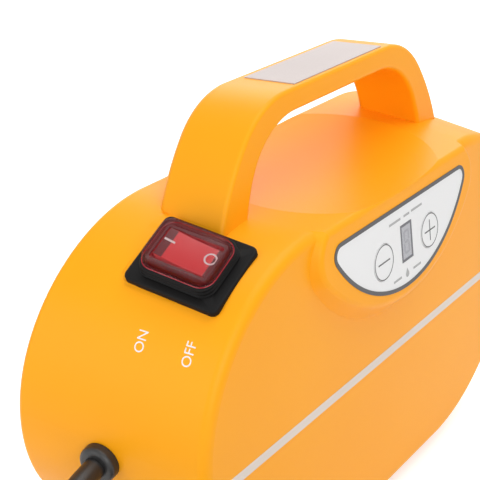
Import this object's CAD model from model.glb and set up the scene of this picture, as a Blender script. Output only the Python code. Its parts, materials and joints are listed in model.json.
import json
import math

import bmesh
import bpy
from mathutils import Matrix, Vector
from mathutils.bvhtree import BVHTree


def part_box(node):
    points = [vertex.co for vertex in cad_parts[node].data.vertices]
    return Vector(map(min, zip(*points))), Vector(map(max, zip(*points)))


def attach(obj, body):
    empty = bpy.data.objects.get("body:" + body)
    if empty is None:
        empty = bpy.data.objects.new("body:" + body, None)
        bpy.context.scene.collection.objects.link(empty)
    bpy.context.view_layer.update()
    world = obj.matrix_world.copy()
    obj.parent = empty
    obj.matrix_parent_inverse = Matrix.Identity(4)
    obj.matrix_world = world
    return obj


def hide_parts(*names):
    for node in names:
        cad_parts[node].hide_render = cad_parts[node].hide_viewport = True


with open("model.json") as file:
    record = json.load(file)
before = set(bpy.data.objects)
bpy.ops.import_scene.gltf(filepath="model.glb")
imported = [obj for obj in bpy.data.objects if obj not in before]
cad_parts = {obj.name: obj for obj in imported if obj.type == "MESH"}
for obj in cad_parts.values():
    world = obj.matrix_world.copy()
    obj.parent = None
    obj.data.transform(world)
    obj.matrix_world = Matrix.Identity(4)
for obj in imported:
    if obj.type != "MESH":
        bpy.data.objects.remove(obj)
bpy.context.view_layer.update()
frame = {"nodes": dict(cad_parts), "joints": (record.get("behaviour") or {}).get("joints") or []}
nodes = frame["nodes"]
joints = {joint["name"]: joint for joint in frame["joints"]}
MM = 0.001


# Camera: above the machine's front left end, looking down at it. Its place and turn were solved
# from the switch plate, the panel and the outline in the photograph, whose frame is square.
# The three directions are its right, down and forward.
camera_data = bpy.data.cameras.new("camera")
camera_data.sensor_width = 36.0
camera_data.lens = 84.6
camera_data.clip_start = 0.05
camera_spot = Vector((-352.0, -199.6, 316.6)) * MM
camera_right = Vector((0.5885, -0.8064, 0.0580))
camera_down = Vector((-0.3418, -0.3131, -0.8861))
camera_ahead = Vector((0.7327, 0.5017, -0.4599))
camera = bpy.data.objects.new("camera", camera_data)
camera_turn = Matrix((camera_right, -camera_down, -camera_ahead)).transposed()
camera.matrix_world = Matrix.Translation(camera_spot) @ camera_turn.to_4x4()
bpy.context.scene.collection.objects.link(camera)
bpy.context.scene.camera = camera


# Studio: a floor of one sheet, an even white surround and four soft boxes. The surround is white
# to the camera and in reflections, and lights the object at a lower level.
SQUARE = ((-1, -1), (1, -1), (1, 1), (-1, 1))
FLOOR_HALF = 3.0
SURROUND_LIGHT = 0.42
WHITE = 1.0


def link(thing):
    bpy.context.scene.collection.objects.link(thing)
    return thing


def mesh_object(name, points, faces, smooth=False):
    """A mesh object at the origin, with its place in its vertices."""
    mesh = bpy.data.meshes.new(name)
    mesh.from_pydata([tuple(point) for point in points], [], faces)
    mesh.update()
    if smooth:
        mesh.shade_smooth()
    return link(bpy.data.objects.new(name, mesh))


def softbox(name, spot, aim, size, power):
    data = bpy.data.lights.new(name, "AREA")
    data.shape = "RECTANGLE"
    data.size, data.size_y = size
    data.energy = power
    lamp = link(bpy.data.objects.new(name, data))
    lamp.location = spot
    lamp.rotation_euler = (Vector(aim) - Vector(spot)).to_track_quat("-Z", "Y").to_euler()


def seen(tree, low, high):
    """A strength that is high for the camera, reflections and clear plastic, and low for the light."""
    path = tree.nodes.new("ShaderNodeLightPath")
    value = path.outputs["Is Camera Ray"]
    for way in ("Is Glossy Ray", "Is Transmission Ray"):
        join = tree.nodes.new("ShaderNodeMath")
        join.operation = "MAXIMUM"
        tree.links.new(value, join.inputs[0])
        tree.links.new(path.outputs[way], join.inputs[1])
        value = join.outputs["Value"]
    span = tree.nodes.new("ShaderNodeMapRange")
    tree.links.new(value, span.inputs["Value"])
    span.inputs["To Min"].default_value = low
    span.inputs["To Max"].default_value = high
    return span.outputs["Result"]


floor = mesh_object("floor", [(x * FLOOR_HALF, y * FLOOR_HALF, 0) for x, y in SQUARE], [(0, 1, 2, 3)])
world = bpy.data.worlds.new("studio")
world.use_nodes = True
surround = world.node_tree.nodes["Background"]
surround.inputs["Color"].default_value = (1.0, 1.0, 1.0, 1.0)
world.node_tree.links.new(seen(world.node_tree, SURROUND_LIGHT, WHITE), surround.inputs["Strength"])
bpy.context.scene.world = world
bpy.context.scene.view_settings.view_transform = "Standard"
softbox("overhead", spot=(0.25, -0.1, 1.3), aim=(0.0, 0.0, 0.1), size=(1.2, 1.0), power=8.5)
softbox("front_left", spot=(-0.9, -0.9, 0.75), aim=(0.0, 0.0, 0.1), size=(0.9, 0.9), power=7.0)
softbox("left", spot=(-1.2, 0.35, 0.5), aim=(-0.1, 0.0, 0.1), size=(0.7, 0.9), power=3.4)
softbox("behind", spot=(1.0, 0.75, 0.75), aim=(0.0, 0.0, 0.14), size=(1.1, 0.8), power=5.0)


# Surface of the moulded and the brushed pieces: a colour that drifts a little, an uneven gloss and a
# fine grain, which plastic has from its mould and metal from its brushing. It is laid out in object
# coordinates, so its scale is the object's own.
NOISE_LOW = 0.3
NOISE_HIGH = 0.7
GRAIN_DEPTH = 0.05 * MM
DRIFT_DETAIL = 3.0
GRAIN_DETAIL = 2.0


def socket(tree, name, way, kind):
    return tree.interface.new_socket(name, in_out=way, socket_type=kind)


def noise(tree, source, scale, detail, stretch=None):
    node = tree.nodes.new("ShaderNodeTexNoise")
    node.inputs["Scale"].default_value = scale
    node.inputs["Detail"].default_value = detail
    if stretch:
        mapping = tree.nodes.new("ShaderNodeMapping")
        mapping.inputs["Scale"].default_value = stretch
        tree.links.new(source, mapping.inputs["Vector"])
        source = mapping.outputs["Vector"]
    tree.links.new(source, node.inputs["Vector"])
    return node.outputs["Fac"]


def spread(tree, value, low, high):
    """A noise value turned into one between two others, which are numbers or sockets."""
    node = tree.nodes.new("ShaderNodeMapRange")
    node.inputs["From Min"].default_value = NOISE_LOW
    node.inputs["From Max"].default_value = NOISE_HIGH
    tree.links.new(value, node.inputs["Value"])
    for end, name in ((low, "To Min"), (high, "To Max")):
        if isinstance(end, float):
            node.inputs[name].default_value = end
        else:
            tree.links.new(end, node.inputs[name])
    return node.outputs["Result"]


def surface_group(name, coarse, fine, stretch=None):
    """A node group that gives colour, roughness and normal from two colours and a gloss range."""
    tree = bpy.data.node_groups.new(name, "ShaderNodeTree")
    for way, kind, titles in (("INPUT", "NodeSocketColor", ("Light", "Dark")),
                              ("INPUT", "NodeSocketFloat", ("Gloss low", "Gloss high", "Grain")),
                              ("OUTPUT", "NodeSocketColor", ("Color",)),
                              ("OUTPUT", "NodeSocketFloat", ("Roughness",)),
                              ("OUTPUT", "NodeSocketVector", ("Normal",))):
        for title in titles:
            socket(tree, title, way, kind)
    given = tree.nodes.new("NodeGroupInput")
    result = tree.nodes.new("NodeGroupOutput")
    place = tree.nodes.new("ShaderNodeTexCoord").outputs["Object"]
    drift = noise(tree, place, coarse, DRIFT_DETAIL)
    mix = tree.nodes.new("ShaderNodeMix")
    mix.data_type = "RGBA"
    tree.links.new(spread(tree, drift, 0.0, 1.0), mix.inputs["Factor"])
    tree.links.new(given.outputs["Dark"], mix.inputs["A"])
    tree.links.new(given.outputs["Light"], mix.inputs["B"])
    tree.links.new(mix.outputs["Result"], result.inputs["Color"])
    grain = noise(tree, place, fine, GRAIN_DETAIL, stretch)
    gloss = spread(tree, grain, given.outputs["Gloss low"], given.outputs["Gloss high"])
    tree.links.new(gloss, result.inputs["Roughness"])
    bump = tree.nodes.new("ShaderNodeBump")
    bump.inputs["Distance"].default_value = GRAIN_DEPTH
    tree.links.new(given.outputs["Grain"], bump.inputs["Strength"])
    tree.links.new(grain, bump.inputs["Height"])
    tree.links.new(bump.outputs["Normal"], result.inputs["Normal"])
    return tree


moulded = surface_group("moulded_surface", coarse=14.0, fine=2600.0)
brushed = surface_group("brushed_surface", coarse=30.0, fine=900.0, stretch=(1.0, 12.0, 1.0))


def finish(name, light, dark, gloss, grain=0.12, group=moulded, **values):
    """A material on one of the shared surfaces. Further values go straight to the shader's sockets."""
    material = bpy.data.materials.new(name)
    material.use_nodes = True
    tree = material.node_tree
    shader = tree.nodes["Principled BSDF"]
    texture = tree.nodes.new("ShaderNodeGroup")
    texture.node_tree = group
    texture.inputs["Light"].default_value = (*light, 1.0)
    texture.inputs["Dark"].default_value = (*dark, 1.0)
    texture.inputs["Gloss low"].default_value = gloss[0]
    texture.inputs["Gloss high"].default_value = gloss[1]
    texture.inputs["Grain"].default_value = grain
    tree.links.new(texture.outputs["Color"], shader.inputs["Base Color"])
    tree.links.new(texture.outputs["Roughness"], shader.inputs["Roughness"])
    tree.links.new(texture.outputs["Normal"], shader.inputs["Normal"])
    for key, value in values.items():
        shader.inputs[key.replace("_", " ")].default_value = value
    return material


def paint(material, *names):
    """Puts the material on CAD nodes, which keep their meshes."""
    for name in names:
        node = nodes[name]
        node.data.materials.clear()
        node.data.materials.append(material)


# Floor: matt white paper. A little glow of its own makes it white where the camera or a reflection
# sees it, and the object's shadow stays on it.
FLOOR_GLOW = 0.45
pale = finish("pale_floor", light=(0.88, 0.88, 0.88), dark=(0.86, 0.86, 0.86), gloss=(0.8, 0.9),
              Emission_Color=(1.0, 1.0, 1.0, 1.0))
pale_shader = pale.node_tree.nodes["Principled BSDF"]
pale.node_tree.links.new(seen(pale.node_tree, 0.0, FLOOR_GLOW), pale_shader.inputs["Emission Strength"])
floor.data.materials.append(pale)


# Power cord: a flex in a black rubber jacket, 8 mm thick and 1.5 m long. It comes straight out of the
# gland, sinks to the floor and is wound flat for storage beside the machine, outside the view, with
# its plug on the end. Its route repeats the one in the part's source.
CORD_RADIUS = 4.0 * MM
CORD_EXIT = Vector((-128.37, 5.095, 73.204)) * MM
CORD_ROUTE = [(-158.0, 0.9, 70.4), (-184.0, -5.5, 59.0), (-203.0, -15.0, 38.0), (-217.0, -27.0, 16.0),
              (-234.0, -42.0, 4.0), (-243.0, -66.0, 4.0), (-245.0, -92.0, 4.0)]
PLUG_POINTS = (-2.0, 6.0)
TURN_STEP = 8.3 * MM
LAYER_RISE = TURN_STEP * math.sqrt(3) / 2
COIL_TURNS = 4
LAST_LOW_TURN = 2
UPPER_START = 4.5
POINTS_PER_TURN = 24
CROSSING = 0.2
coil_low, coil_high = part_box("cord_coil")
coil_centre = (coil_low + coil_high) / 2
coil_outside = (coil_high.x - coil_low.x) / 2 - CORD_RADIUS
plug_low, plug_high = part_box("plug_body")


def seat(turn, share):
    """Radius and height of one turn of the coil, and of its shift to the next seat as share goes 0 to 1."""
    if turn < LAST_LOW_TURN:
        return coil_outside - (turn + share) * TURN_STEP, CORD_RADIUS
    if turn == LAST_LOW_TURN:
        under = coil_outside - (1 + share) * TURN_STEP
        angle = math.radians(180 - 120 * share)
        return under + TURN_STEP * math.cos(angle), CORD_RADIUS + TURN_STEP * math.sin(angle)
    hump = (TURN_STEP - LAYER_RISE) * math.sin(2 * math.pi * share) ** 2
    return coil_outside - (UPPER_START - turn - share) * TURN_STEP, CORD_RADIUS + LAYER_RISE + hump


def coil_points():
    """Points of the coil's turns, from where the route joins the outer one to where the plug leaves."""
    join_x, join_y = (value * MM for value in CORD_ROUTE[-1][:2])
    start = math.degrees(math.atan2(join_y - coil_centre.y, join_x - coil_centre.x)) % 360
    total = COIL_TURNS + (360 - start) / 360
    steps = round(total * POINTS_PER_TURN)
    points = []
    for step in range(1, steps + 1):
        travel = total * step / steps
        turn = int(travel)
        share = max(0.0, (travel - turn - (1 - CROSSING)) / CROSSING)
        radius, height = seat(turn, share)
        angle = math.radians(start + travel * 360)
        from_middle = Vector((radius * math.cos(angle), radius * math.sin(angle), height))
        points.append(coil_centre.xy.to_3d() + from_middle)
    return points


cord_points = [CORD_EXIT] + [Vector(point) * MM for point in CORD_ROUTE] + coil_points()
plug_mouth = Vector(((plug_low.x + plug_high.x) / 2, plug_low.y, (plug_low.z + plug_high.z) / 2))
cord_points += [plug_mouth + Vector((0, depth, 0)) * MM for depth in PLUG_POINTS]
cord_curve = bpy.data.curves.new("power_lead", "CURVE")
cord_curve.dimensions = "3D"
cord_curve.bevel_depth = CORD_RADIUS
cord_curve.bevel_resolution = 6
cord_curve.resolution_u = 6
cord_curve.use_fill_caps = True
spline = cord_curve.splines.new("NURBS")
spline.points.add(len(cord_points) - 1)
for control, point in zip(spline.points, cord_points):
    control.co = (*point, 1.0)
spline.order_u = 3
spline.use_endpoint_u = True
lead = link(bpy.data.objects.new("power_lead", cord_curve))
jacket = finish("cord_jacket", light=(0.016, 0.015, 0.015), dark=(0.010, 0.010, 0.010), gloss=(0.28, 0.40),
                grain=0.10)
cord_curve.materials.append(jacket)
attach(lead, "unit")
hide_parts("power_cord", "cord_coil")


# Rear cover: satin orange plastic, the same as the housing, moulded as a flat lid and screwed over
# the housing's open back
orange = finish("orange_moulding", light=(1.0, 0.40, 0.006), dark=(0.98, 0.38, 0.005), gloss=(0.36, 0.44),
                grain=0.10, Specular_IOR_Level=0.2)
paint(orange, "rear_cover")


# Gland and its nut, plug, switch body and button switches: black nylon mouldings. The gland holds
# the cord in the side wall, and the switch body sits in its cut-out.
black = finish("black_moulding", light=(0.020, 0.019, 0.019), dark=(0.014, 0.014, 0.014), gloss=(0.34, 0.46))
paint(black, "cord_gland", "gland_nut", "plug_body", "switch_body", "button_switches")


# Feet: four pads of soft black rubber, each held to the underside of the housing by a screw in its
# hollow
rubber = finish("soft_rubber", light=(0.010, 0.009, 0.009), dark=(0.007, 0.007, 0.007), gloss=(0.50, 0.62),
                grain=0.3, Specular_IOR_Level=0.12)
paint(rubber, "feet")


# Housing shell: one orange moulding, shown here up to its flat top. The handle of the solid stands
# more upright than in the photograph, so a truer one follows below.
HOUSING_TOP = 144.0 * MM
TOP_MARGIN = 0.02 * MM


def without_handle(source, level):
    """A mesh of the faces that lie below a level, with the normals they had."""
    kept = [face for face in source.polygons if all(source.vertices[v].co.z < level for v in face.vertices)]
    used = sorted({v for face in kept for v in face.vertices})
    place = {v: count for count, v in enumerate(used)}
    points = [source.vertices[v].co for v in used]
    faces = [[place[v] for v in face.vertices] for face in kept]
    corners = [loop for face in kept for loop in face.loop_indices]
    mesh = bpy.data.meshes.new("housing_shell")
    mesh.from_pydata(points, [], faces)
    mesh.shade_smooth()
    mesh.normals_split_custom_set([source.corner_normals[loop].vector.copy() for loop in corners])
    return mesh


shell_mesh = without_handle(nodes["housing"].data, HOUSING_TOP + TOP_MARGIN)
shell = link(bpy.data.objects.new("housing_shell", shell_mesh))
shell.data.materials.append(orange)
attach(shell, "unit")
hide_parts("housing")


# Handle seats: the flat parts of the same moulding on which the handle stands. They close the
# openings that its feet leave in the shell's top.
WELD_DISTANCE = 0.001 * MM
seat_mesh = bmesh.new()
seat_mesh.from_mesh(shell.data)
bmesh.ops.remove_doubles(seat_mesh, verts=list(seat_mesh.verts), dist=WELD_DISTANCE)
opened = [edge for edge in seat_mesh.edges if edge.is_boundary]
closing = bmesh.ops.triangle_fill(seat_mesh, use_beauty=True, edges=opened)["geom"]
filled = {item for item in closing if isinstance(item, bmesh.types.BMFace)}
bmesh.ops.delete(seat_mesh, geom=[face for face in seat_mesh.faces if face not in filled], context="FACES")
for face in seat_mesh.faces:
    if face.normal.z < 0:
        face.normal_flip()
seats = mesh_object("handle_seats", [], [])
seat_mesh.to_mesh(seats.data)
seat_mesh.free()
seats.data.materials.append(orange)
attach(seats, "unit")
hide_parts("housing")


# Carry handle: an arch of the same orange moulding, of two arcs a side outside and inside, that
# leans back from the flat top. Its edges are crisp in front and round behind.
HANDLE_BASE = Vector((0.0, -4.2 * MM, HOUSING_TOP))
HANDLE_TURN = Matrix.Rotation(math.radians(-8.0), 3, "X")
HANDLE_DEPTH = 29.5 * MM
HANDLE_RISE = 39.0 * MM
HANDLE_ROOT = 2.5 * MM
GRIP_THICKNESS = 8.8 * MM
FRONT_ROUND = 1.6 * MM
BACK_ROUND = 3.6 * MM
ROUND_STEPS = 6
TOP_STEPS = 4
CORNER_STEPS = 14
LEG_STEPS = 16
CLOSE = 0.01 * MM


def arch_half(half, top, radius, turn, leg_radius):
    """Points down one side of an arch: along its flat top, round two arcs and to its foot."""
    turn = math.radians(turn)
    first = Vector((half, top - radius))
    second = first - (leg_radius - radius) * Vector((math.sin(turn), math.cos(turn)))
    end = math.acos((-HANDLE_ROOT - second.y) / leg_radius)
    points = [Vector((half * step / TOP_STEPS, top)) for step in range(TOP_STEPS)]
    arcs = ((first, radius, 0.0, turn, CORNER_STEPS), (second, leg_radius, turn, end, LEG_STEPS))
    for centre, size, start, stop, count in arcs:
        for step in range(count):
            angle = start + (stop - start) * step / count
            points.append(centre + size * Vector((math.sin(angle), math.cos(angle))))
    return points + [second + leg_radius * Vector((math.sin(end), math.cos(end)))]


def arch(mesh, **sizes):
    """Vertices along a whole arch, from its left foot to its right one."""
    half = arch_half(**sizes)
    line = [(-x, z) for x, z in reversed(half[1:])] + [(x, z) for x, z in half]
    return [mesh.verts.new((x, 0, z)) for x, z in line]


handle_mesh = bmesh.new()
outside = arch(handle_mesh, half=35.5 * MM, top=HANDLE_RISE, radius=34.6 * MM, turn=50.5,
               leg_radius=92.7 * MM)
inside = arch(handle_mesh, half=30.0 * MM, top=HANDLE_RISE - GRIP_THICKNESS, radius=30.0 * MM, turn=62.8,
              leg_radius=56.0 * MM)
strip = [handle_mesh.faces.new(corners) for corners in zip(outside, outside[1:], inside[1:], inside)]
grown = bmesh.ops.extrude_face_region(handle_mesh, geom=strip)["geom"]
bmesh.ops.translate(handle_mesh, verts=[item for item in grown if isinstance(item, bmesh.types.BMVert)],
                    vec=(0, HANDLE_DEPTH, 0))
for depth, radius in ((0.0, FRONT_ROUND), (HANDLE_DEPTH, BACK_ROUND)):
    rim = [edge for edge in handle_mesh.edges if edge.calc_face_angle(0.0) > 1
           and all(abs(vertex.co.y - depth) < CLOSE for vertex in edge.verts)
           and max(vertex.co.z for vertex in edge.verts) > CLOSE - HANDLE_ROOT]
    bmesh.ops.bevel(handle_mesh, geom=rim, offset=radius, segments=ROUND_STEPS, profile=0.5, affect="EDGES")
bmesh.ops.recalc_face_normals(handle_mesh, faces=list(handle_mesh.faces))
carry_handle = mesh_object("carry_handle", [], [])
handle_mesh.to_mesh(carry_handle.data)
handle_mesh.free()
carry_handle.data.transform(Matrix.Translation(HANDLE_BASE) @ HANDLE_TURN.to_4x4())
carry_handle.data.shade_smooth()
carry_handle.modifiers.new("even_normals", "WEIGHTED_NORMAL")
bpy.context.view_layer.update()
evened = carry_handle.evaluated_get(bpy.context.evaluated_depsgraph_get())
carry_handle.data = bpy.data.meshes.new_from_object(evened)
carry_handle.modifiers.clear()
carry_handle.data.materials.append(orange)
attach(carry_handle, "unit")
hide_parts("housing")


# Stripe: a pale line printed straight across the leaning front face. It is a film of ink, laid on
# the moulding as all the prints are.
FACE_LEAN = math.radians(5.68)
STRIPE_WIDTH = 3.9 * MM
STRIPE_LENGTH = 236.0 * MM
STRIPE_COLUMNS = 60
STRIPE_LIFT = 0.02 * MM
INK_THICKNESS = 0.06 * MM
RAY_START = 20 * MM
RIGHT = Vector((1, 0, 0))
face_up = Vector((0.0, math.sin(FACE_LEAN), math.cos(FACE_LEAN)))
stripe_spot = Vector((0.0, -35.2, 72.9)) * MM


def surface_of(mesh):
    """The mesh in a form that a ray can be cast at."""
    points = [vertex.co for vertex in mesh.vertices]
    return BVHTree.FromPolygons(points, [face.vertices for face in mesh.polygons])


def laid_on(piece, carrier, lift):
    """Moves a flat form onto what carries it, against its own outward direction. Its thickness stays."""
    surface = surface_of(carrier.data)
    out = Vector(piece["out"])
    for vertex in piece.data.vertices:
        hit = surface.ray_cast(vertex.co + out * RAY_START, -out)[0]
        if hit:
            vertex.co = hit + out * (lift + vertex.co.dot(out) - piece["level"])
    piece.data.update()


def dressed_print(piece, spot, out, material, body):
    """Gives a print its material and body, and notes the way it faces and the level it lies on."""
    piece["out"] = out
    piece["level"] = spot.dot(out)
    piece.data.materials.append(material)
    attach(piece, body)
    return piece


def placed(name, shape, spot, across, up, material, body="unit", thickness=INK_THICKNESS):
    """A flat outline of faces, given in its own plane, as a thin solid at a spot in the object."""
    points, faces = shape
    out = across.cross(up)
    made = bmesh.new()
    low = [made.verts.new(spot + across * x + up * y) for x, y in points]
    for face in faces:
        made.faces.new([low[index] for index in face])
    raised = bmesh.ops.extrude_face_region(made, geom=list(made.faces))
    moved = [item for item in raised["geom"] if isinstance(item, bmesh.types.BMVert)]
    bmesh.ops.translate(made, verts=moved, vec=out * thickness)
    bmesh.ops.recalc_face_normals(made, faces=list(made.faces))
    mesh = bpy.data.meshes.new(name)
    made.to_mesh(mesh)
    made.free()
    return dressed_print(link(bpy.data.objects.new(name, mesh)), spot, out, material, body)


def grid_faces(columns, rows):
    """Faces between the points of a grid, which go row by row."""
    line = columns + 1
    return [(j * line + i, j * line + i + 1, (j + 1) * line + i + 1, (j + 1) * line + i)
            for j in range(rows) for i in range(columns)]


def grid(width, height, columns=1, rows=1):
    """A rectangle about zero, divided so that it can follow a curved surface."""
    points = [(width * (i / columns - 0.5), height * (j / rows - 0.5))
              for j in range(rows + 1) for i in range(columns + 1)]
    return points, grid_faces(columns, rows)


silver = finish("silver_ink", light=(0.74, 0.66, 0.60), dark=(0.68, 0.60, 0.54), gloss=(0.38, 0.46),
                grain=0.05)
stripe = placed("face_stripe", grid(STRIPE_LENGTH, STRIPE_WIDTH, STRIPE_COLUMNS), stripe_spot, RIGHT, face_up,
                silver)
laid_on(stripe, shell, STRIPE_LIFT)


# Switch words: plain ON and OFF, printed in white on the housing's side beside the switch. They read
# upwards, with their tops to the back.
LETTER_HEIGHT = 3.4 * MM
CAPITAL_SHARE = 0.69
LEAD_IN = 1.6
PRINT_LIFT = 0.03 * MM
on_start = Vector((-115.0, -0.4, 115.2)) * MM
on_end = Vector((-112.8, 0.0, 118.2)) * MM
off_start = Vector((-112.2, -17.8, 115.7)) * MM
off_end = Vector((-108.5, -17.0, 120.9)) * MM


def flat_solid(name, curve, spot, across, up, thickness, material):
    """A filled curve as a thin solid mesh on the unit, its own zero at the spot."""
    curve.extrude = thickness / 2
    source = link(bpy.data.objects.new(name, curve))
    bpy.context.view_layer.update()
    mesh = bpy.data.meshes.new_from_object(source.evaluated_get(bpy.context.evaluated_depsgraph_get()))
    bpy.data.objects.remove(source)
    out = across.cross(up)
    turn = Matrix((across, up, out)).transposed().to_4x4()
    mesh.transform(Matrix.Translation(spot) @ turn @ Matrix.Translation((0, 0, thickness / 2)))
    mesh.name = name
    mesh.materials.clear()
    return dressed_print(link(bpy.data.objects.new(name, mesh)), spot, out, material, "unit")


white = finish("white_ink", light=(0.86, 0.85, 0.84), dark=(0.80, 0.79, 0.78), gloss=(0.45, 0.55), grain=0.05)
for name, text, first, last in (("on_word", "ON", on_start, on_end), ("off_word", "OFF", off_start, off_end)):
    along = (last - first).normalized()
    outward = Vector((-abs(along.z), -0.1, abs(along.x)))
    outward = (outward - along * outward.dot(along)).normalized()
    upright = outward.cross(along).normalized()
    letters = bpy.data.curves.new(name, "FONT")
    letters.body = text
    letters.size = LETTER_HEIGHT / CAPITAL_SHARE
    letters.resolution_u = 4
    start = first - along * LEAD_IN * MM - upright * LETTER_HEIGHT / 2
    word = flat_solid(name, letters, start, along, upright, INK_THICKNESS, white)
    laid_on(word, shell, PRINT_LIFT)


# Control panel: a pale printed film of polyester with openings for the display and the two buttons, in
# a dark rim that sits in the boss of the housing. Lengths are in mm in the panel's own frame, u to the
# right, v up and the level outwards.
PANEL_ORIGIN = Vector((0.0, -36.3, 118.4)) * MM
PANEL_HALF = 50.0
PANEL_TOP = 19.8
PANEL_BOTTOM = 13.45
PANEL_CORNER = 4.5
CORNER_POINTS = 8
BELLY_POINTS = 60
PLATE_FLOOR = -0.6
FILM_TOP = 0.06
FILM_INSET = 1.1
RIM_TOP = 0.22
RIM_OUTSIDE = -0.4
RIM_INSIDE = 1.15
BUTTON_U = 18.06
BUTTON_V = 2.18
BUTTON_HOLE = 7.2
WINDOW_OPENING = [(-4.45, -3.6), (4.45, -3.6), (4.45, 11.6), (-4.45, 11.6)]
CIRCLE_POINTS = 48
panel_out = -Vector(joints["minus_press"]["axis"]).normalized()
panel_up = panel_out.cross(RIGHT)


def panel_outline(inset):
    """Points round the panel: a flat top, two small corners and one long arc below, drawn in by the inset."""
    half = PANEL_HALF - inset
    top = PANEL_TOP - inset
    bottom = PANEL_BOTTOM - inset
    corner = PANEL_CORNER - inset
    side = half - corner
    rise = top + bottom - corner
    sweep = (side ** 2 + rise ** 2 - corner ** 2) / (2 * (rise - corner))
    turn = math.degrees(math.atan2(top - corner - sweep + bottom, side))
    arcs = ((side, top - corner, corner, turn, 90, CORNER_POINTS),
            (-side, top - corner, corner, 90, 180 - turn, CORNER_POINTS),
            (0, sweep - bottom, sweep, 180 - turn, 360 + turn, BELLY_POINTS))
    points = []
    for u, v, radius, first, last, count in arcs:
        for step in range(count + 1):
            angle = math.radians(first + (last - first) * step / count)
            points.append((u + radius * math.cos(angle), v + radius * math.sin(angle)))
    return points


def circle(radius, u=0.0, v=0.0):
    angles = [2 * math.pi * step / CIRCLE_POINTS for step in range(CIRCLE_POINTS)]
    return [(u + radius * math.cos(angle), v + radius * math.sin(angle)) for angle in angles]


def panel_plate(name, loops, high, material):
    """A plate of an outline and its openings, from the panel's floor to a level."""
    curve = bpy.data.curves.new(name, "CURVE")
    curve.dimensions = "2D"
    curve.fill_mode = "BOTH"
    for loop in loops:
        spline = curve.splines.new("POLY")
        spline.points.add(len(loop) - 1)
        for control, (u, v) in zip(spline.points, loop):
            control.co = (u * MM, v * MM, 0.0, 1.0)
        spline.use_cyclic_u = True
    spot = PANEL_ORIGIN + panel_out * PLATE_FLOOR * MM
    return flat_solid(name, curve, spot, RIGHT, panel_up, (high - PLATE_FLOOR) * MM, material)


film = finish("panel_film", light=(0.83, 0.83, 0.83), dark=(0.80, 0.80, 0.80), gloss=(0.42, 0.50), grain=0.06)
edge_grey = finish("panel_edge", light=(0.070, 0.070, 0.074), dark=(0.058, 0.058, 0.062), gloss=(0.40, 0.50),
                   grain=0.06)
button_holes = [circle(BUTTON_HOLE, side * BUTTON_U, BUTTON_V) for side in (-1, 1)]
sheet = panel_plate("panel_sheet", [panel_outline(FILM_INSET), *button_holes, WINDOW_OPENING], FILM_TOP, film)
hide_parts("panel_overlay")
rim = panel_plate("panel_rim", [panel_outline(RIM_OUTSIDE), panel_outline(RIM_INSIDE)], RIM_TOP, edge_grey)
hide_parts("panel_bezel")


# Buttons: two round domes of the same pale film over their switches, each with a printed ring and
# the sign minus or plus
SIGN_LENGTH = 8.6 * MM
SIGN_WIDTH = 0.55 * MM
RING_INSIDE = 6.5 * MM
RING_OUTSIDE = 6.9 * MM
paint(film, "minus_button", "plus_button")
ink = finish("grey_ink", light=(0.12, 0.12, 0.12), dark=(0.09, 0.09, 0.09), gloss=(0.45, 0.55), grain=0.05)


def face_centre(node, out):
    """The middle of a node's outermost face in the direction out."""
    points = [vertex.co for vertex in nodes[node].data.vertices]
    top = max(point.dot(out) for point in points)
    rim = [point for point in points if point.dot(out) > top - CLOSE]
    return sum(rim, Vector()) / len(rim)


def ring(inside, outside):
    """A flat ring about zero, whose points go in pairs from the inside out."""
    points = [point for pair in zip(circle(inside), circle(outside)) for point in pair]
    last = len(points)
    return points, [(k, k + 1, (k + 3) % last, (k + 2) % last) for k in range(0, last, 2)]


def panel_print(name, shape, spot, material, body="unit"):
    placed(name, shape, spot, RIGHT, panel_up, material, body)


for key in ("minus", "plus"):
    button_middle = face_centre(key + "_button", panel_out)
    panel_print(key + "_outline", ring(RING_INSIDE, RING_OUTSIDE), button_middle, ink, key + "_key")
    panel_print(key + "_bar", grid(SIGN_LENGTH, SIGN_WIDTH), button_middle, ink, key + "_key")
    if key == "plus":
        panel_print("plus_upright", grid(SIGN_WIDTH, SIGN_LENGTH), button_middle, ink, key + "_key")


# Film marks: printed in pale grey on the film, as three short bars over the display, and a water drop
# between two bars under it. Each bar is given by its middle and its length.
DROP_RADIUS = 1.25 * MM
DROP_HEIGHT = 2.5 * MM
DROP_POINTS = 20
DROP_PLACE = (-1.2, -8.9)
FILM_BARS = ((-8.8, -8.6, 6.0), (6.6, -8.4, 6.0), (-8.0, 14.4, 8.6), (1.0, 14.5, 4.4), (9.0, 14.7, 8.6))
FILM_BAR_WIDTH = 0.9 * MM
mark_ink = finish("pale_ink", light=(0.42, 0.42, 0.42), dark=(0.38, 0.38, 0.38), gloss=(0.45, 0.55),
                  grain=0.05)


def on_film(u, v):
    """A spot on the film, from the middle of the panel's own frame."""
    return PANEL_ORIGIN + (RIGHT * u + panel_up * v + panel_out * FILM_TOP) * MM


def drop(radius, tip):
    """Outline of a drop: most of a circle, closed by a point above it."""
    opening = math.acos(radius / tip)
    points = [(0.0, tip)]
    for step in range(DROP_POINTS + 1):
        angle = math.pi / 2 + opening + (2 * math.pi - 2 * opening) * step / DROP_POINTS
        points.append((radius * math.cos(angle), radius * math.sin(angle)))
    return points, [tuple(range(len(points)))]


panel_print("drop_mark", drop(DROP_RADIUS, DROP_HEIGHT), on_film(*DROP_PLACE), mark_ink)
for count, (u, v, length) in enumerate(FILM_BARS):
    panel_print("film_line_%d" % count, grid(length * MM, FILM_BAR_WIDTH), on_film(u, v), mark_ink)


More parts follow.
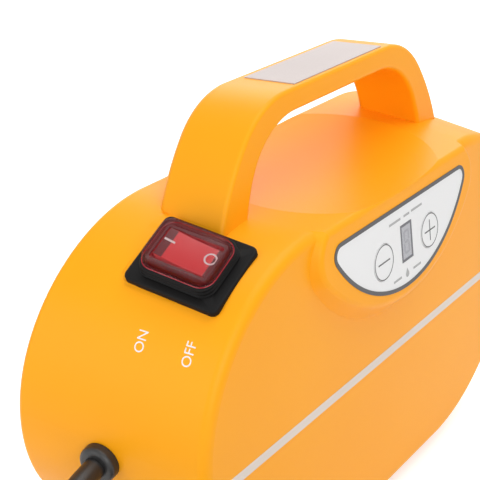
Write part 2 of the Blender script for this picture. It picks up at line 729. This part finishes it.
# Display: a smoked acrylic window set in the panel, with a darker printed border and the seven bars
# of one unlit digit
WINDOW_WIDTH = 8.7 * MM
WINDOW_HEIGHT = 15.0 * MM
BORDER = 1.0 * MM
BAR = 0.9 * MM
DIGIT_WIDTH = 4.2 * MM
DIGIT_HEIGHT = 9.6 * MM
window_grey = finish("display_window", light=(0.45, 0.45, 0.48), dark=(0.40, 0.40, 0.43), gloss=(0.25, 0.32),
                     grain=0.03)
frame_ink = finish("display_frame", light=(0.13, 0.13, 0.15), dark=(0.11, 0.11, 0.12), gloss=(0.35, 0.45),
                   grain=0.03)
digit_grey = finish("unlit_bar", light=(0.34, 0.34, 0.37), dark=(0.30, 0.30, 0.33), gloss=(0.3, 0.4),
                    grain=0.03)
paint(window_grey, "display_window")
window_centre = face_centre("display_window", panel_out)


def window_frame(width, height, border):
    """A flat rectangular border about zero."""
    points = [(x * (width / 2 - inset), y * (height / 2 - inset))
              for inset in (0.0, border) for x, y in SQUARE]
    return points, [(k, (k + 1) % 4, 4 + (k + 1) % 4, 4 + k) for k in range(4)]


def digit_bar(name, centre, length, upright):
    """One six-sided bar of the digit."""
    half = length / 2
    shape = [(-half, 0), (-half + BAR / 2, -BAR / 2), (half - BAR / 2, -BAR / 2), (half, 0),
             (half - BAR / 2, BAR / 2), (-half + BAR / 2, BAR / 2)]
    if upright:
        shape = [(-y, x) for x, y in shape]
    points = [(centre[0] + x, centre[1] + y) for x, y in shape]
    panel_print(name, (points, [tuple(range(6))]), window_centre, digit_grey)


panel_print("display_border", window_frame(WINDOW_WIDTH, WINDOW_HEIGHT, BORDER), window_centre, frame_ink)
for count, level in enumerate((-1, 0, 1)):
    digit_bar("digit_level_%d" % count, (0.0, level * (DIGIT_HEIGHT / 2 - BAR / 2)), DIGIT_WIDTH - BAR, False)
for count, (side, level) in enumerate(((-1, -1), (1, -1), (-1, 1), (1, 1))):
    bar_middle = (side * (DIGIT_WIDTH / 2 - BAR / 2), level * DIGIT_HEIGHT / 4)
    digit_bar("digit_side_%d" % count, bar_middle, DIGIT_HEIGHT / 2 - BAR, True)


# Switch collar: the base of the switch in soft black rubber, a plate with rounded edges and a collar of
# three ridges, under the lip that holds the cap. The switch stands in a frame of its own on the
# shoulder, turned a little as in the photograph: p up the band's slope, q to the back and r outwards.
SWITCH_TURN = 3.0
SWITCH_R = Vector((-0.4608, -0.0648, 0.8852)).normalized()
slope = Vector(joints["rocker_tilt"]["axis"]) * -1
level_slope = (slope - SWITCH_R * slope.dot(SWITCH_R)).normalized()
SWITCH_P = Matrix.Rotation(math.radians(SWITCH_TURN), 3, SWITCH_R) @ level_slope
SWITCH_Q = SWITCH_R.cross(SWITCH_P)
SWITCH_BASE = Vector((-91.2, -0.6, 136.77)) * MM + SWITCH_P * 0.3 * MM - SWITCH_Q * 1.2 * MM
OUTLINE_STEPS = 7
SHARP_FORM = math.radians(50)
COLLAR_RINGS = [
    (28.4, 36.6, 2.4, -1.7), (28.8, 37.0, 2.6, -1.2), (28.8, 37.0, 2.6, 0.5), (28.5, 36.7, 2.5, 0.9),
    (27.8, 36.0, 2.3, 1.15), (26.8, 35.0, 2.0, 1.2), (22.6, 28.8, 4.2, 1.25), (22.4, 28.6, 4.4, 1.5),
    (23.2, 29.4, 4.8, 1.8), (23.4, 29.6, 5.0, 2.1), (23.2, 29.4, 4.8, 2.4), (21.8, 28.0, 4.2, 2.7),
    (21.8, 28.0, 4.2, 2.9), (22.8, 29.0, 4.8, 3.2), (23.0, 29.2, 5.0, 3.5), (22.8, 29.0, 4.8, 3.8),
    (21.4, 27.6, 4.2, 4.1), (21.4, 27.6, 4.2, 4.3), (22.4, 28.8, 5.0, 4.6), (22.6, 29.0, 5.2, 5.0),
    (22.3, 28.7, 5.1, 5.3), (21.6, 28.0, 4.8, 5.4), (18.0, 24.6, 3.0, 5.4), (18.0, 24.6, 3.0, 3.6)]


def switch_spot(p, q, r):
    return SWITCH_BASE + SWITCH_P * p * MM + SWITCH_Q * q * MM + SWITCH_R * r * MM


def rounded_outline(width, length, corner):
    """Points round a rectangle with round corners, in the switch's p and q."""
    points = []
    for right, up, start in ((1, 1, 0), (-1, 1, 90), (-1, -1, 180), (1, -1, 270)):
        for step in range(OUTLINE_STEPS + 1):
            angle = math.radians(start + 90 * step / OUTLINE_STEPS)
            points.append((right * (width / 2 - corner) + corner * math.cos(angle),
                           up * (length / 2 - corner) + corner * math.sin(angle)))
    return points


def lofted(name, rings, material, hollow=False):
    """A form through rounded rectangles, each given by its width, length, corner radius and level."""
    made = bmesh.new()
    loops = [[made.verts.new(switch_spot(p, q, level)) for p, q in rounded_outline(width, length, corner)]
             for width, length, corner, level in rings]
    for low, high in zip(loops, loops[1:] + loops[:1] if hollow else loops[1:]):
        for index in range(len(low)):
            after = (index + 1) % len(low)
            made.faces.new((low[index], low[after], high[after], high[index]))
    if not hollow:
        made.faces.new(loops[0][::-1])
        made.faces.new(loops[-1])
    bmesh.ops.recalc_face_normals(made, faces=list(made.faces))
    piece = mesh_object(name, [], [])
    made.to_mesh(piece.data)
    made.free()
    piece.data.shade_smooth()
    piece.data.set_sharp_from_angle(angle=SHARP_FORM)
    piece.data.materials.append(material)
    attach(piece, "unit")
    return piece


collar = lofted("switch_collar", COLLAR_RINGS, rubber)
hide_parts("switch_base")


# Shoulder strip: the part of the orange shoulder under the switch's plate. It closes the recess that
# the turned plate leaves bare, and follows the shell where the two meet.
SHOULDER_RADIUS = 64.0
STRIP_P = range(-17, 18)
STRIP_Q = range(-19, 24)
STRIP_SIDE = 15
STRIP_FRONT = -18
STRIP_RISE = 0.03
STRIP_RAY = 5
STRIP_REACH = 0.35 * MM
STRIP_LIFT = 0.015
shell_surface = surface_of(shell.data)
strip_points = []
for q in STRIP_Q:
    for p in STRIP_P:
        sag = math.sqrt(SHOULDER_RADIUS ** 2 - p ** 2) - SHOULDER_RADIUS
        point = switch_spot(p, q, sag + STRIP_RISE)
        hit = shell_surface.ray_cast(point + SWITCH_R * STRIP_RAY * MM, -SWITCH_R)[0]
        if hit:
            near = abs((hit - point).dot(SWITCH_R)) < STRIP_REACH
            if near or abs(p) > STRIP_SIDE or q < STRIP_FRONT:
                point = hit + SWITCH_R * STRIP_LIFT * MM
        strip_points.append(point)
strip_faces = grid_faces(len(STRIP_P) - 1, len(STRIP_Q) - 1)
shoulder = mesh_object("shoulder_strip", strip_points, strip_faces, smooth=True)
shoulder.data.materials.append(orange)
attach(shoulder, "unit")


# Clear cap: a hollow cover of soft clear red plastic with round corners and a flat top, which keeps
# water out. Its foot is held by the collar's lip and catches the light in a bright line.
CAP_ROUND = 3.2
CAP_STEPS = 8
CAP_WIDTH = 19.6
CAP_LENGTH = 27.3
CAP_CORNER = 4.8
CAP_SHOULDER = 7.6
CORNER_DRAW = 0.42
FOOT_RINGS = [(20.5, 28.2, 5.2, 5.45), (20.75, 28.45, 5.3, 5.55), (20.5, 28.2, 5.2, 5.65),
              (20.3, 28.0, 5.1, 5.55)]
cap_rings = [(12.4, 20.1, 2.0, 9.8), (16.0, 23.7, 3.4, 9.2), (17.8, 25.5, 4.2, 7.6), (17.8, 25.5, 4.2, 5.4),
             (20.2, 27.9, 5.0, 5.4), (20.5, 28.2, 5.2, 5.6), (20.3, 28.0, 5.1, 5.85), (19.8, 27.5, 4.9, 5.95),
             (CAP_WIDTH, CAP_LENGTH, CAP_CORNER, CAP_SHOULDER)]
for step in range(1, CAP_STEPS + 1):
    bend = math.radians(90 * step / CAP_STEPS)
    draw = 2 * CAP_ROUND * (1 - math.cos(bend))
    cap_rings.append((CAP_WIDTH - draw, CAP_LENGTH - draw, CAP_CORNER - draw * CORNER_DRAW,
                      CAP_SHOULDER + CAP_ROUND * math.sin(bend)))
cap_tint = finish("clear_red_cap", light=(0.34, 0.012, 0.018), dark=(0.30, 0.010, 0.015), gloss=(0.05, 0.09),
                  grain=0.02, Alpha=0.17)
edge_red = finish("cap_edge_red", light=(0.60, 0.010, 0.030), dark=(0.52, 0.008, 0.025), gloss=(0.08, 0.14),
                  grain=0.02)
cap = lofted("clear_cap", cap_rings, cap_tint)
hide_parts("switch_cap")
lofted("cap_foot_line", FOOT_RINGS, edge_red, hollow=True)


# Switch frame: black plastic inside the cap, with an opening for the rocker. The walls of the opening
# glow red beside the lit rocker, and are a sleeve of their own.
FRAME_RINGS = [(15.6, 24.0, 1.4, 3.5), (15.6, 24.0, 1.4, 6.7), (15.2, 23.6, 1.2, 7.0), (13.4, 22.2, 0.9, 7.0),
               (13.2, 22.0, 0.8, 6.8), (13.2, 22.0, 0.8, 3.5)]
WELL_RINGS = [(13.2, 22.0, 0.8, 6.5), (13.2, 22.0, 0.8, 3.5), (12.8, 21.6, 0.6, 3.5), (12.8, 21.6, 0.6, 6.5)]
glow_red = finish("lit_wall", light=(0.50, 0.002, 0.006), dark=(0.42, 0.001, 0.004), gloss=(0.2, 0.3),
                  grain=0.02)
lofted("switch_frame", FRAME_RINGS, black, hollow=True)
lofted("rocker_well", WELL_RINGS, glow_red, hollow=True)


# Rocker: a moulded red lens with a lamp in it and dark ends, on a pivot in the switch body. It is
# drawn flat about its pivot, then tilted so that its O end lies low. The profile is q against r.
ROCKER_REST = math.radians(8.0)
ROCKER_PIVOT = 2.2
ROCKER_HALF_WIDTH = 5.7
ROCKER_PROFILE = [(-10.2, 4.9), (-8.6, 4.8), (-4.0, 4.55), (0.0, 4.45), (4.0, 4.6), (7.0, 4.75), (10.2, 5.0),
                  (9.6, 1.0), (3.2, -2.2), (-3.2, -2.2), (-9.6, 1.0)]
DARK_FACES = (0, 5, 6, 10)
CRISP_EDGE = 0.7
EDGE_ROUND = 0.3 * MM
SHARP_LENS = math.radians(35)
rocker_red = finish("rocker_red", light=(0.80, 0.052, 0.055), dark=(0.72, 0.044, 0.047), gloss=(0.25, 0.35),
                    grain=0.04)
rocker_dark = finish("rocker_dark_ends", light=(0.055, 0.016, 0.018), dark=(0.040, 0.012, 0.014),
                     gloss=(0.3, 0.4), grain=0.04)
tilt = Matrix.Rotation(ROCKER_REST, 3, SWITCH_P)
rocker_q = tilt @ SWITCH_Q
rocker_r = tilt @ SWITCH_R
rocker_centre = switch_spot(0.0, 0.0, ROCKER_PIVOT)


def rocker_spot(p, q, r):
    return rocker_centre + SWITCH_P * p * MM + rocker_q * q * MM + rocker_r * r * MM


rocker_mesh = bmesh.new()
left, right = [[rocker_mesh.verts.new(rocker_spot(p, q, r)) for q, r in ROCKER_PROFILE]
               for p in (-ROCKER_HALF_WIDTH, ROCKER_HALF_WIDTH)]
rocker_mesh.faces.new(left)
rocker_mesh.faces.new(right[::-1])
for index in range(len(ROCKER_PROFILE)):
    after = (index + 1) % len(ROCKER_PROFILE)
    face = rocker_mesh.faces.new((left[index], right[index], right[after], left[after]))
    face.material_index = 1 if index in DARK_FACES else 0
bmesh.ops.recalc_face_normals(rocker_mesh, faces=list(rocker_mesh.faces))
crisp = [edge for edge in rocker_mesh.edges if edge.calc_face_angle(0.0) > CRISP_EDGE]
bmesh.ops.bevel(rocker_mesh, geom=crisp, offset=EDGE_ROUND, segments=3, profile=0.5, affect="EDGES",
                material=-1)
rocker = mesh_object("rocker_lens", [], [])
rocker_mesh.to_mesh(rocker.data)
rocker_mesh.free()
rocker.data.shade_smooth()
rocker.data.set_sharp_from_angle(angle=SHARP_LENS)
rocker.data.materials.append(rocker_red)
rocker.data.materials.append(rocker_dark)
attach(rocker, "rocker")
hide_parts("switch_rocker")


# Rocker signs: I and O in white ink, printed on the two ends of the lens so that they follow its faces
# and tilt with it
SIGN_LEVEL = 5.2
SIGN_THICKNESS = 0.05 * MM
ROCKER_SIGNS = (("sign_one", grid(0.75 * MM, 4.0 * MM, rows=6), 1.1, 7.8),
                ("sign_zero", ring(1.7 * MM, 2.3 * MM), 1.2, -7.8))
for name, shape, p, q in ROCKER_SIGNS:
    sign = placed(name, shape, rocker_spot(p, q, SIGN_LEVEL), SWITCH_P, rocker_q, white,
                  body="rocker", thickness=SIGN_THICKNESS)
    laid_on(sign, rocker, PRINT_LIFT)


# Handle label: a blank pale film with square corners, stuck flat on the top of the handle and a
# little to the right of its middle
LABEL_LENGTH = 62.0 * MM
LABEL_WIDTH = 22.0 * MM
LABEL_THICKNESS = 0.4 * MM
LABEL_PLACE = Vector((3.0 * MM, 13.0 * MM, HANDLE_RISE))
label = finish("label_film", light=(0.53, 0.455, 0.435), dark=(0.48, 0.41, 0.39), gloss=(0.42, 0.52),
               grain=0.05)
handle_film = placed("handle_film", grid(LABEL_LENGTH, LABEL_WIDTH), HANDLE_BASE + HANDLE_TURN @ LABEL_PLACE,
                     RIGHT, HANDLE_TURN @ Vector((0, 1, 0)), label, thickness=LABEL_THICKNESS)
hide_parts("handle_label")


# Screws, heater straps and pump bracket: zinc-plated steel. The screws are cold-headed and rolled,
# the straps and the bracket are stamped from sheet.
steel = finish("zinc_steel", light=(0.62, 0.62, 0.60), dark=(0.52, 0.52, 0.50), gloss=(0.28, 0.42), grain=0.2,
               group=brushed, Metallic=1.0)
paint(steel, "foot_screws", "rear_cover_screws", "control_board_screws", "heater_screws", "pump_screws",
      "heater_straps", "pump_bracket")


# Recesses of the rear cover's screws: a cross pressed into each of the six heads, dark inside. One
# tree draws two crossed bars at every screw.
RECESS_SIZES = {"Length": 3.4, "Width": 0.8, "Depth": 0.3}
RECESS_SUNK = 0.13 * MM
COVER_SCREWS = ((66.0, 128.0), (100.0, 104.0), (92.0, 34.0))
dark_slot = finish("dark_recess", light=(0.060, 0.060, 0.060), dark=(0.045, 0.045, 0.045), gloss=(0.5, 0.6))
cross = bpy.data.node_groups.new("cross_recess", "GeometryNodeTree")
socket(cross, "Geometry", "INPUT", "NodeSocketGeometry")
size_inputs = {name: socket(cross, name, "INPUT", "NodeSocketFloat").identifier for name in RECESS_SIZES}
socket(cross, "Geometry", "OUTPUT", "NodeSocketGeometry")
cross_in = cross.nodes.new("NodeGroupInput")
both = cross.nodes.new("GeometryNodeJoinGeometry")
for order in (("Length", "Depth", "Width"), ("Width", "Depth", "Length")):
    bar_size = cross.nodes.new("ShaderNodeCombineXYZ")
    for way, name in zip("XYZ", order):
        cross.links.new(cross_in.outputs[name], bar_size.inputs[way])
    bar = cross.nodes.new("GeometryNodeMeshCube")
    cross.links.new(bar_size.outputs["Vector"], bar.inputs["Size"])
    cross.links.new(bar.outputs["Mesh"], both.inputs["Geometry"])
at_screws = cross.nodes.new("GeometryNodeInstanceOnPoints")
cross.links.new(cross_in.outputs["Geometry"], at_screws.inputs["Points"])
cross.links.new(both.outputs["Geometry"], at_screws.inputs["Instance"])
realized = cross.nodes.new("GeometryNodeRealizeInstances")
cross.links.new(at_screws.outputs["Instances"], realized.inputs["Geometry"])
dressed = cross.nodes.new("GeometryNodeSetMaterial")
dressed.inputs["Material"].default_value = dark_slot
cross.links.new(realized.outputs["Geometry"], dressed.inputs["Geometry"])
cross_out = cross.nodes.new("NodeGroupOutput")
cross.links.new(dressed.outputs["Geometry"], cross_out.inputs["Geometry"])
recess_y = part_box("rear_cover_screws")[1].y - RECESS_SUNK
screw_spots = [(side * x * MM, recess_y, z * MM) for side in (-1, 1) for x, z in COVER_SCREWS]
recesses = mesh_object("cover_screw_recesses", screw_spots, [])
recipe = recesses.modifiers.new("cross_recess", "NODES")
recipe.node_group = cross
for name, value in RECESS_SIZES.items():
    recipe[size_inputs[name]] = value * MM
bpy.context.view_layer.update()
recesses.data = bpy.data.meshes.new_from_object(recesses.evaluated_get(bpy.context.evaluated_depsgraph_get()))
recesses.modifiers.clear()
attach(recesses, "unit")


# Steam outlet, water inlet, their nuts and the plug's pins: turned brass, plated with nickel. Each
# fitting goes through its wall and is held by its nut.
nickel = finish("nickel_brass", light=(0.70, 0.67, 0.60), dark=(0.62, 0.59, 0.52), gloss=(0.20, 0.32),
                grain=0.15, group=brushed, Metallic=1.0)
paint(nickel, "steam_outlet", "outlet_nut", "water_inlet", "inlet_nut", "plug_pins")


# Terminals of the switch and of the heater: blades stamped from bare brass sheet and fixed in their
# holders, to which the leads go
brass = finish("bare_brass", light=(0.80, 0.56, 0.22), dark=(0.70, 0.48, 0.18), gloss=(0.25, 0.38),
               grain=0.15, group=brushed, Metallic=1.0)
paint(brass, "switch_terminals", "heater_terminals")


# Heater block: aluminium cast round its element and pipe, dull from the mould, and held on its pad
# by the straps
cast = finish("cast_aluminium", light=(0.60, 0.60, 0.62), dark=(0.50, 0.50, 0.52), gloss=(0.45, 0.65),
              grain=0.6, Metallic=1.0)
paint(cast, "heater_block")


# Pump and thermostat: their bodies are moulded in dark nylon. The pump is screwed to its bracket, and
# the thermostat touches the heater block.
dark_nylon = finish("dark_nylon", light=(0.05, 0.05, 0.055), dark=(0.04, 0.04, 0.045), gloss=(0.4, 0.5))
paint(dark_nylon, "pump", "thermostat")


# Thermal fuse and terminal block: pressed and fired white ceramic, which stands the heat of the
# block beside them
ceramic = finish("white_ceramic", light=(0.80, 0.78, 0.74), dark=(0.74, 0.72, 0.68), gloss=(0.5, 0.6))
paint(ceramic, "thermal_fuse", "terminal_block")


# Control board and display module: green glass laminate with its parts soldered on, fixed to posts
# inside the housing
laminate = finish("circuit_laminate", light=(0.020, 0.090, 0.035), dark=(0.016, 0.075, 0.028),
                  gloss=(0.3, 0.4))
paint(laminate, "control_board", "display_module")


# Hoses and steam pipe: extruded silicone tube, a little translucent, pushed onto the spigots of
# inlet, pump, heater and outlet
silicone = finish("silicone_hose", light=(0.72, 0.71, 0.68), dark=(0.66, 0.65, 0.62), gloss=(0.4, 0.5),
                  Alpha=0.85)
paint(silicone, "inlet_hose", "feed_hose", "steam_pipe")


# Inner lead: the cord in its own jacket, carried on inside the housing from the gland to the
# terminal block
paint(jacket, "inner_lead")
